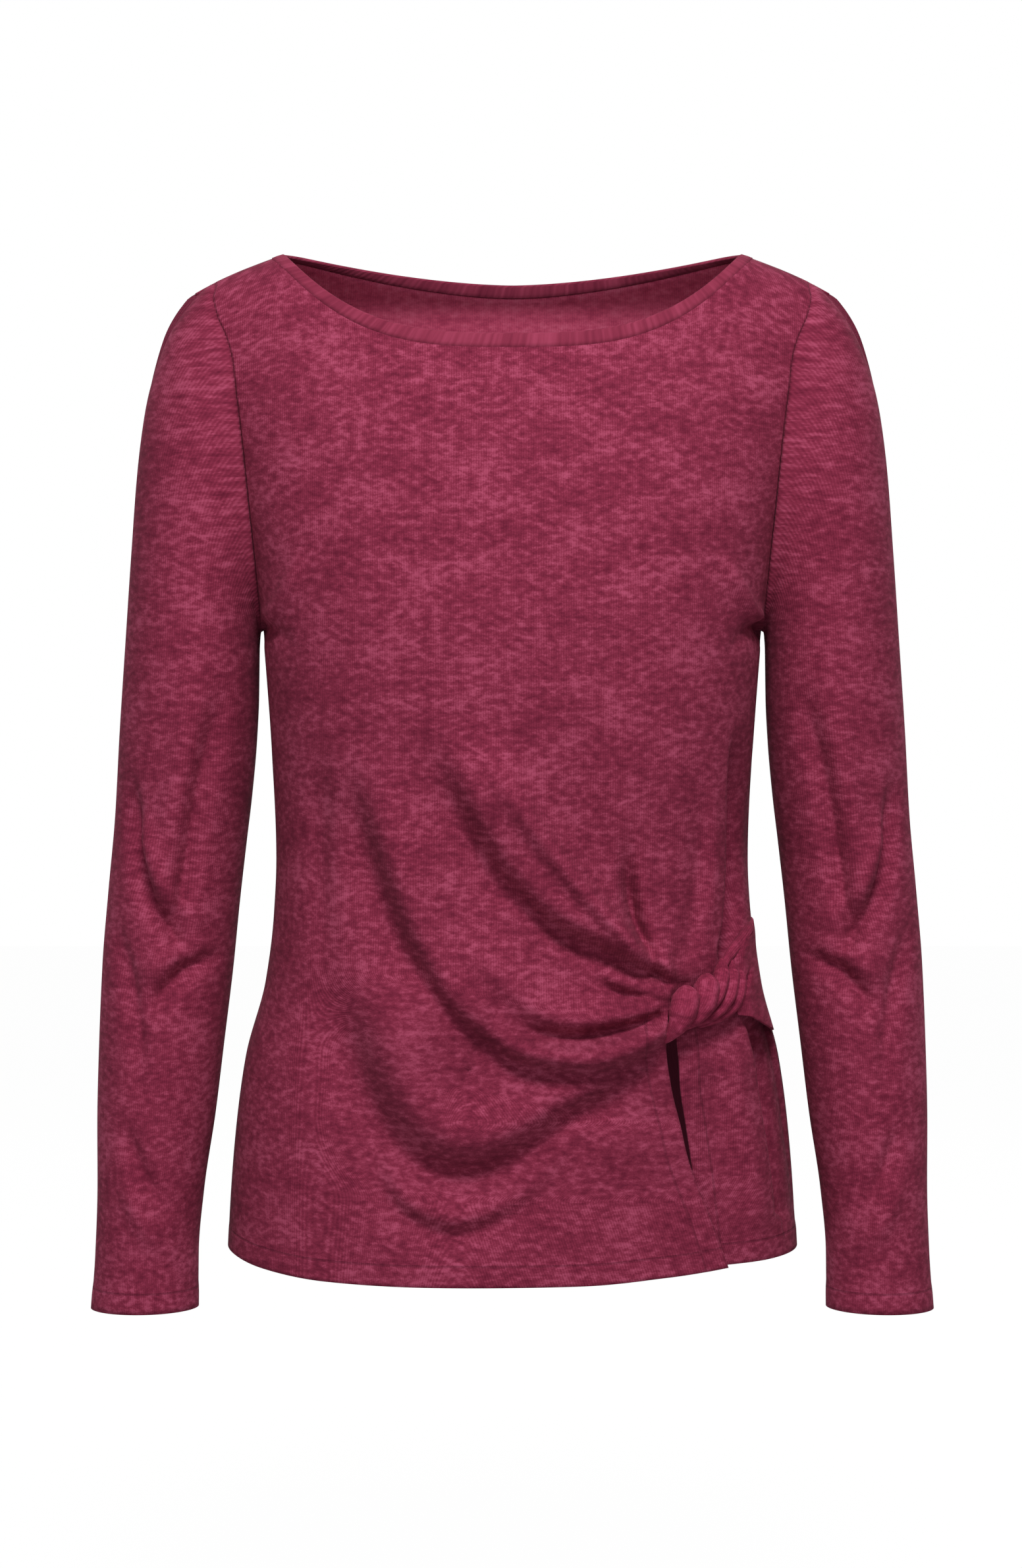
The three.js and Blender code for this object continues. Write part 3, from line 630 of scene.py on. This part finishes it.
def neck_binding():
    """The neckline's folded strip: a closed band round the neck, rolled at its top edge."""
    around = {"front": 200, "back": 140}
    edge, top = [], []
    for side in FACING:
        place = -FACING[side] * (2 * np.arange(around[side]) / around[side] - 1)
        low = body_point(side, *neck_at(side, place, NECK_HALF_WIDTH, NECKLINE[side]["cloth"]))
        high = body_point(side, *neck_at(side, place, BINDING_HALF_WIDTH, NECKLINE[side]["binding"]))
        high[:, 1] *= BINDING_STAND[side]
        edge.append(low)
        top.append(high)
    edge, top = np.concatenate(edge), np.concatenate(top)
    up = top - edge
    height = np.linalg.norm(up, axis=1, keepdims=True)
    up = up / height
    tangent = np.roll(edge, -1, 0) - np.roll(edge, 1, 0)
    out = np.cross(up, tangent)
    out /= np.linalg.norm(out, axis=1, keepdims=True)
    half = BINDING_CLOTH / 2
    profile = [(-0.9, half * 0.8), (-0.3, half * 1.2), (2.0, half * 1.3)]
    steps = 7
    rounds = [math.pi * i / steps for i in range(1, steps)]
    thick = half * 1.1
    points = [edge + up * h + out * o for h, o in profile]
    shoulder = height - thick + 0.8
    points += [edge + up * shoulder + out * thick]
    for turn in rounds:
        top_height = shoulder + half * math.sin(turn)
        points.append(edge + up * top_height + out * thick * math.cos(turn))
    points += [edge + up * shoulder - out * thick, edge + up * 2.0 - out * thick]
    points.append(edge - up * 0.9 - out * half * 0.8)
    rings = np.array(points)
    count = len(edge)
    numbers = np.arange(rings.shape[0] * count).reshape(rings.shape[0], count)
    closed = np.vstack([numbers, numbers[:1]])
    quads = grid_quads(np.hstack([closed, closed[:, :1]]), -1)
    run = np.append(0, np.cumsum(np.linalg.norm(np.diff(edge, axis=0), axis=1)))
    across = np.arange(rings.shape[0])[:, None] * 1.2 + 0 * run
    on_bias = [run * 0.35 + 0.25 * across + CUT_FROM["binding"], across * 0.3 + run * 0.25, 0 * across]
    flat = np.stack(on_bias, -1).reshape(-1, 3)
    marks = marks_of(numbers.size, to_hem=np.linalg.norm(rings - edge, axis=-1) * MM)
    return cloth_mesh("neck_band", rings.reshape(-1, 3), quads, 0, flat, marks)


def front_y(x, drop):
    return body_point("front", angle_at(x, drop), drop)[..., 1]


# The knot's strands: the two wraps of the front's tail, then the three pleats of the tab. Each runs
# along [x, drop, how far it stands proud], with its half width and half depth.
STRANDS = {
    "wrap_near_drape": {
        "half": 8, "deep": 9,
        "path": [(101, 434, 14), (101, 441, 18), (99.3, 448, 19), (96, 456, 17), (88.5, 466, 9)],
    },
    "wrap_near_tab": {
        "half": 7.6, "deep": 8.5,
        "path": [
            (113.5, 428, 11), (113.6, 436, 15.5), (111.2, 444.5, 17), (107, 451.5, 15.5),
            (99.5, 459, 10),
        ],
    },
    "tab_pleat_1": {
        "half": 4.4, "deep": 6,
        "path": [
            (123.5, 420, 9), (122.6, 430, 13.5), (119.5, 440, 15.5), (113.5, 449, 14.5),
            (104, 456.5, 9),
        ],
    },
    "tab_pleat_2": {
        "half": 4.5, "deep": 6,
        "path": [(127.5, 419, 9), (129, 431, 12), (126, 442.5, 14), (118.5, 451.5, 13), (106, 458, 8)],
    },
    "tab_pleat_3": {
        "half": 4.6, "deep": 5.5,
        "path": [(131, 421, 8), (134, 434, 9.5), (131, 445.5, 10.5), (123, 453, 10), (109, 459, 6)],
    },
    "tab_rolled_edge": {
        "half": 3.4, "deep": 3.4,
        "path": [
            (144.5, 403, 0), (141, 406.5, 3), (135, 412, 7), (129.5, 417, 10), (124.5, 424, 12.5),
            (123, 433, 11),
        ],
    },
}


def strand(name, half, deep, path):
    """One strand of the knot: a plump tapering roll of cloth along its path, pinched at its ends."""
    steps, around = 56, 28
    points = Fold(0, (1, 1), (1, 1), [p[:2] for p in path]).line
    share = np.linspace(0, 1, len(points))
    proud = np.interp(share, np.linspace(0, 1, len(path)), [p[2] for p in path])
    t = np.linspace(0, 1, steps + 1)
    x, drop, stand = (np.interp(t, share, values) for values in (points[:, 0], points[:, 1], proud))
    middle = np.stack([x, front_y(x, drop) - stand, -drop], -1)
    along = np.gradient(middle, axis=0)
    along /= np.linalg.norm(along, axis=1, keepdims=True)
    out = np.array([0.45, -0.89, 0.0]) + 0 * middle
    out -= (out * along).sum(1, keepdims=True) * along
    out /= np.linalg.norm(out, axis=1, keepdims=True)
    across = np.cross(out, along)
    size = (np.minimum(1, (t + 0.01) / 0.22) ** 0.5 * np.minimum(1, (1.03 - t) / 0.5) ** 0.6)[:, None, None]
    turn = np.linspace(0, 2 * math.pi, around, endpoint=False)[None, :, None]
    crease = 1 - 0.10 * np.exp(-(((turn - 1.9) / 0.25) ** 2))
    ring = across[:, None] * half * np.cos(turn) + out[:, None] * deep * np.sin(turn) * crease
    vertices = (middle[:, None] + ring * size).reshape(-1, 3)
    numbers = np.arange(len(vertices)).reshape(steps + 1, around)
    quads = grid_quads(np.hstack([numbers, numbers[:, :1]]), 1)
    round_roll = np.broadcast_to(turn[..., 0] * half, numbers.shape)
    flat = np.stack([round_roll, -drop[:, None] + 0 * round_roll, 0 * round_roll], -1)
    return vertices, quads, flat.reshape(-1, 3) + [CUT_FROM["knot"], 0, 0]


def joined(name, parts):
    """Several closed rolls as one piece; each is capped at its two ends."""
    vertices = np.vstack([part[0] for part in parts])
    flat = np.vstack([part[2] for part in parts])
    quads, start = [], 0
    for part in parts:
        quads.append(part[1] + start)
        start += len(part[0])
    piece = cloth_mesh(name, vertices, np.vstack(quads), 0, flat, marks_of(len(vertices)))
    shape = bmesh.new()
    shape.from_mesh(piece.data)
    bmesh.ops.holes_fill(shape, edges=[edge for edge in shape.edges if edge.is_boundary], sides=0)
    bmesh.ops.recalc_face_normals(shape, faces=shape.faces)
    shape.to_mesh(piece.data)
    shape.free()
    piece.data.shade_smooth()
    return piece


def knot():
    names = ["wrap_near_drape", "wrap_near_tab"]
    return joined("twist_knot", [strand(name, **STRANDS[name]) for name in names])


TAB = table(
    "along angle top bottom stand rim",
    (0, 91, 401.5, 471, 0.3, 0),
    (0.12, 83, 402.5, 469, 1.4, 0.6),
    (0.35, 73, 405.5, 464.5, 2.4, 1),
    (0.6, 65, 410, 460, 4.6, 1.4),
    (0.8, 59.5, 416, 457, 6.8, 1),
    (1, 54, 424, 455, 7, 0),
)


def side_tab():
    steps = 70
    at = {name: curve(TAB, "along", name) for name in TAB}
    along = np.linspace(0, 1, steps + 1)[None, :]
    share = np.linspace(0, 1, steps + 1)[:, None]
    angle = np.radians(at["angle"](along)) + 0 * share
    drop = mix(at["top"](along), at["bottom"](along), share)
    form = body_point("front", angle, drop)
    numbers = np.arange(form.shape[0] * form.shape[1]).reshape(form.shape[:2])
    quads = grid_quads(numbers, -1)
    normal = normals_of(form.reshape(-1, 3), quads)
    rolled = at["rim"](along) * np.exp(-(((share - 0.09) / 0.11) ** 2))
    off_crease = (share - 0.50 - 0.5 * (along - 0.7)) / 0.06
    crease = -3.2 * np.exp(-(off_crease**2) - ((along - 0.72) / 0.17) ** 2)
    stand = at["stand"](along) + rolled + 1.6 * np.sin(math.pi * share) * along + crease
    vertices = form.reshape(-1, 3) + normal * stand.reshape(-1, 1)
    flat = np.stack([form[..., 0] * 1.2 + CUT_FROM["tab"], -drop, 0 * drop], -1).reshape(-1, 3)
    return cloth_mesh("tab_sheet", vertices, quads, CLOTH, flat, marks_of(len(vertices)))


# ---- Shader building: expressions on sockets make Math, Mix and Vector Math nodes


class Link:
    """A socket in a node tree, with the arithmetic that is used on it."""

    def __init__(self, shader, socket):
        self.shader, self.socket = shader, socket

    def _math(self, operation, *values):
        return self.shader.node("ShaderNodeMath", {"operation": operation}, list(values))

    def __add__(self, other):
        return self._math("ADD", self, other)

    def __sub__(self, other):
        return self._math("SUBTRACT", self, other)

    def __rsub__(self, other):
        return self._math("SUBTRACT", other, self)

    def __mul__(self, other):
        return self._math("MULTIPLY", self, other)

    def sine(self):
        return self._math("SINE", self)

    def absolute(self):
        return self._math("ABSOLUTE", self)

    def largest(self, other):
        return self._math("MAXIMUM", self, other)

    __radd__ = __add__
    __rmul__ = __mul__


class Shader:
    """The nodes of a material or of the world, all made by one method."""

    def __init__(self, owner):
        owner.use_nodes = True
        self.owner, self.tree = owner, owner.node_tree
        self.tree.nodes.clear()

    def node(self, kind, settings=None, values=(), output=0):
        made = self.tree.nodes.new(kind)
        for name, value in (settings or {}).items():
            if name == "stops":
                stops = made.color_ramp.elements
                while len(stops) > 1:
                    stops.remove(stops[-1])
                stops[0].position, stops[0].color = value[0]
                for position, colour in value[1:]:
                    stops.new(position).color = colour
            else:
                setattr(made, name, value)
        named = values.items() if isinstance(values, dict) else enumerate(values)
        for key, value in named:
            socket = made.inputs[key]
            if isinstance(value, Link):
                self.tree.links.new(value.socket, socket)
            else:
                socket.default_value = value
        return Link(self, made.outputs[output]) if made.outputs else None

    def split(self, vector):
        """The three numbers of a vector."""
        first = self.node("ShaderNodeSeparateXYZ", {}, [vector])
        return [Link(self, socket) for socket in first.socket.node.outputs]

    def seen_directly(self):
        """1 where the camera, a mirror or glass looks, 0 for the light on things."""
        path = self.node("ShaderNodeLightPath").socket.node.outputs
        seen = Link(self, path["Is Camera Ray"]).largest(Link(self, path["Is Glossy Ray"]))
        return seen.largest(Link(self, path["Is Transmission Ray"]))

    def attribute(self, name, output):
        return self.node("ShaderNodeAttribute", {"attribute_name": name}, output=output)

    def mix_colour(self, factor, a, b):
        return self.node("ShaderNodeMix", {"data_type": "RGBA"}, {0: factor, 6: a, 7: b}, output=2)

    def pattern(self, vector, fine, detail, roughness):
        """Soft noise with its own fineness along each direction of the cloth."""
        scaled = self.node("ShaderNodeVectorMath", {"operation": "MULTIPLY"}, [vector, fine])
        values = {"Vector": scaled, "Scale": 1.0, "Detail": detail, "Roughness": roughness}
        return self.node("ShaderNodeTexNoise", {}, values)

    def band(self, value, low, high):
        """0 below low, 1 above high, eased between."""
        return self.node(
            "ShaderNodeMapRange",
            {"interpolation_type": "SMOOTHSTEP"},
            {"Value": value, "From Min": low, "From Max": high, "To Min": 0.0, "To Max": 1.0},
        )


def linear(red, green, blue):
    """A colour written as it is seen, 0 to 255, as the linear value that a shader takes."""
    channels = [c / 255 for c in (red, green, blue)]
    return tuple(c / 12.92 if c <= 0.04045 else ((c + 0.055) / 1.055) ** 2.4 for c in channels) + (1.0,)


RIB_PITCH = 0.00145  # one wale of the knit
OBJECT_PLACE = 3  # the texture coordinates' output that follows the object
STITCH_EDGE = (0.0003, 0.0011)  # from a stitch line's middle to where it ends
GROOVE_PAINTED_SHADE = 0.28  # how much painted shade darkens the colour in a stitch line's groove
PULLED_RIB = (0.80, 0.60)  # across and down shares of the ribs' direction where the cloth is pulled
# the dye's patterns: how fine each is across and down the cloth, with its detail
STREAK = {"fine": (150.0, 290.0, 1.0), "detail": 3.0, "roughness": 0.64}
PATCH = {"fine": (24.0, 44.0, 1.0), "detail": 2.0, "roughness": 0.55}
FLECK = {"fine": (1300.0, 900.0, 1.0), "detail": 2.0, "roughness": 0.7}
WAVER = {"fine": (60.0, 60.0, 1.0), "detail": 1.0, "roughness": 0.5}
# how much each pattern counts in the shade; the shift brings the middle of the sum back to a half
SHADE = {"streak": 0.66, "patch": 0.34, "fleck": 0.20, "rib": 0.06, "shift": 0.13}
TONES = (0.28, 0.74)  # the shades that come out darkest and lightest
RELIEF = {"rib": 0.30, "fleck": 0.35, "streak": 0.25, "groove": 0.9}  # and in the surface's relief


def jersey(name, dark, middle, light, depth=None):
    """Streaky rib jersey: fine ribs down the cloth, uneven dyed streaks across it, stitched hems.

    Depth, where given, is the two heights between which painted shade, a flat dark colour low inside the
    body, gives way to the cloth's own colour."""
    shader = Shader(bpy.data.materials.new(name))
    cloth = shader.attribute("cloth", "Vector")
    across, down, _ = shader.split(cloth)
    pull = shader.attribute("pull", "Fac")
    turned_across = across * PULLED_RIB[0] + down * PULLED_RIB[1]
    rib_across = across * (1 - pull) + turned_across * pull

    streak = shader.pattern(cloth, **STREAK)
    patch = shader.pattern(cloth, **PATCH)
    fleck = shader.pattern(cloth, **FLECK)
    waver = shader.pattern(cloth, **WAVER)
    rib = (rib_across * (2 * math.pi / RIB_PITCH) + waver * 3.0).sine() * 0.5 + 0.5

    shade = streak * SHADE["streak"] + patch * SHADE["patch"] + fleck * SHADE["fleck"]
    shade = shade + rib * SHADE["rib"] - SHADE["shift"]
    tone = shader.band(shade, *TONES)
    colour = shader.node(
        "ShaderNodeValToRGB",
        {"stops": [(0.0, linear(*dark)), (0.5, linear(*middle)), (1.0, linear(*light))]},
        [tone],
    )
    # painted shade: below these heights the inside goes to a flat dark colour, standing in for the shadow
    # inside the body
    if depth:
        place = shader.node("ShaderNodeTexCoord", output=OBJECT_PLACE)
        height = shader.split(place)[2]
        deep = linear(*(channel * 0.5 for channel in dark))
        colour = shader.mix_colour(shader.band(height, *depth), deep, colour)

    def stitched(mark, line):
        offset = (shader.attribute(mark, "Fac") - line).absolute()
        return 1 - shader.band(offset, *STITCH_EDGE)

    hem_line = HEM_TURN * MM
    groove = stitched("to_hem", hem_line).largest(stitched("to_slit", hem_line))
    groove = groove.largest(stitched("to_seam", 0.0))
    # painted shade in the stitch grooves; their real relief is in the bump below
    in_groove_painted_shade = linear(*(channel * 0.62 for channel in dark))
    colour = shader.mix_colour(groove * GROOVE_PAINTED_SHADE, colour, in_groove_painted_shade)
    height = rib * RELIEF["rib"] + fleck * RELIEF["fleck"] + streak * RELIEF["streak"]
    height = height - groove * RELIEF["groove"]
    bump = shader.node(
        "ShaderNodeBump", {}, {"Strength": 0.55, "Distance": 0.0006, "Height": height}
    )
    surface = shader.node(
        "ShaderNodeBsdfPrincipled",
        {},
        {
            "Base Color": colour,
            "Roughness": 0.93,
            "Specular IOR Level": 0.12,
            "Sheen Weight": 0.06,
            "Sheen Roughness": 0.45,
            "Sheen Tint": linear(190, 120, 140),
            "Normal": bump,
        },
    )
    shader.node("ShaderNodeOutputMaterial", {}, {"Surface": surface})
    return shader.owner


def finish_piece(piece, slot, nodes, *materials):
    for material in materials:
        piece.data.materials.append(material)
    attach(piece, "root")
    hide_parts(*nodes)
    return piece


body_jersey = jersey("streaky_jersey", (96, 24, 46), (128, 42, 66), (166, 72, 100))
band_jersey = jersey("binding_jersey", (110, 33, 55), (132, 46, 69), (153, 60, 86))
# The walls' inner side is a lighter copy of the jersey: painted light for the inside of the back neck, with
# painted shade that darkens it lower inside the body.
inner_jersey_painted_light_and_shade = jersey(
    "jersey_inner_side_painted_light_and_shade", (192, 67, 103), (224, 90, 127), (242, 118, 152), depth=(-0.13, -0.025)
)
knot_jersey = jersey("knot_jersey", (100, 26, 48), (134, 42, 68), (168, 68, 98))

front = finish_piece(front_panel(), "jersey", ["front"], body_jersey, inner_jersey_painted_light_and_shade)
back = finish_piece(back_panel(), "jersey", ["back"], body_jersey, inner_jersey_painted_light_and_shade)
sleeve_left, sleeve_right = (
    finish_piece(sleeve(name, mirror), "jersey", [node], body_jersey, inner_jersey_painted_light_and_shade)
    for name, mirror, node in (("left_sleeve", 1, "sleeve_left"), ("right_sleeve", -1, "sleeve_right"))
)
band = finish_piece(neck_binding(), "binding", ["neck_binding"], band_jersey)
tab = finish_piece(side_tab(), "knot_cloth", ["side_tab"], knot_jersey, inner_jersey_painted_light_and_shade)
pleats = joined("tab_pleats", [strand(n, **STRANDS[n]) for n in STRANDS if n.startswith("tab")])
finish_piece(pleats, "knot_cloth", ["side_tab"], knot_jersey)
twist = finish_piece(knot(), "knot_cloth", ["knot"], knot_jersey)


# ---- Camera, lights and floor

CAMERA_DISTANCE = 2.6
CAMERA_HEIGHT = -0.19
AIM_HEIGHT = -0.321
SIDE_SHIFT = -0.0008
FRAME_HEIGHT = 0.952  # how much height the view covers at the garment's middle
SENSOR = 36.0


def aimed(thing, place, target):
    thing.location = place
    thing.rotation_euler = (Vector(target) - Vector(place)).to_track_quat("-Z", "Y").to_euler()
    bpy.context.scene.collection.objects.link(thing)
    return thing


def camera():
    lens = bpy.data.cameras.new("view")
    lens.sensor_width = lens.sensor_height = SENSOR
    lens.lens = SENSOR * math.hypot(CAMERA_DISTANCE, AIM_HEIGHT - CAMERA_HEIGHT) / FRAME_HEIGHT
    lens.clip_start, lens.clip_end = 0.1, 50
    thing = bpy.data.objects.new("view", lens)
    place = (SIDE_SHIFT, -CAMERA_DISTANCE, CAMERA_HEIGHT)
    bpy.context.scene.camera = aimed(thing, place, (SIDE_SHIFT, 0, AIM_HEIGHT))


LIGHTS = {
    "key": {"place": (0.1, -1.9, 1.7), "size": (0.8, 0.6), "power": 62},
    "front": {"place": (-0.2, -3.0, 0.2), "size": (1.8, 1.3), "power": 15},
    "rear": {"place": (0.3, 2.6, 1.2), "size": (2.0, 1.6), "power": 22},
}
LIGHT_TARGET = (0, 0, -0.3)
SKY_STRENGTH = 0.26
WHITE = (1, 1, 1, 1)


def softbox(name, place, size, power):
    light = bpy.data.lights.new(name, "AREA")
    light.shape = "RECTANGLE"
    light.size, light.size_y = size
    light.energy = power
    aimed(bpy.data.objects.new(name, light), place, LIGHT_TARGET)


def studio():
    for name, light in LIGHTS.items():
        softbox(name, **light)


def world():
    """White where it is looked at, and a plain pale light elsewhere."""
    sky = Shader(bpy.data.worlds.new("studio"))
    white = sky.node("ShaderNodeBackground", {}, {"Color": WHITE, "Strength": 1.0})
    pale = sky.node("ShaderNodeBackground", {}, {"Color": WHITE, "Strength": SKY_STRENGTH})
    either = sky.node("ShaderNodeMixShader", {}, [sky.seen_directly(), pale, white])
    sky.node("ShaderNodeOutputWorld", {}, {"Surface": either})
    bpy.context.scene.world = sky.owner


FLOOR_HEIGHT = -0.95
FLOOR_REACH = 6.0
FLOOR_WHITE = {"Color": WHITE, "Strength": 1.06}
FLOOR_WHITE_SHARE = 0.92  # how much of the floor's look is plain white; the rest takes the shadow


def floor():
    mesh = bpy.data.meshes.new("floor")
    corners = [(-1, -1), (1, -1), (1, 1), (-1, 1)]
    places = [(x * FLOOR_REACH, y * FLOOR_REACH, FLOOR_HEIGHT) for x, y in corners]
    mesh.from_pydata(places, [], [(0, 1, 2, 3)])
    ground = bpy.data.objects.new("floor", mesh)
    bpy.context.scene.collection.objects.link(ground)
    shader = Shader(bpy.data.materials.new("pale_floor"))
    matte = shader.node("ShaderNodeBsdfDiffuse", {}, {"Color": (0.5, 0.5, 0.5, 1)})
    white = shader.node("ShaderNodeEmission", {}, FLOOR_WHITE)
    share = shader.seen_directly() * FLOOR_WHITE_SHARE
    mixed = shader.node("ShaderNodeMixShader", {}, [share, matte, white])
    shader.node("ShaderNodeOutputMaterial", {}, {"Surface": mixed})
    mesh.materials.append(shader.owner)


camera()
studio()
world()
floor()
bpy.context.scene.view_settings.view_transform = "Standard"
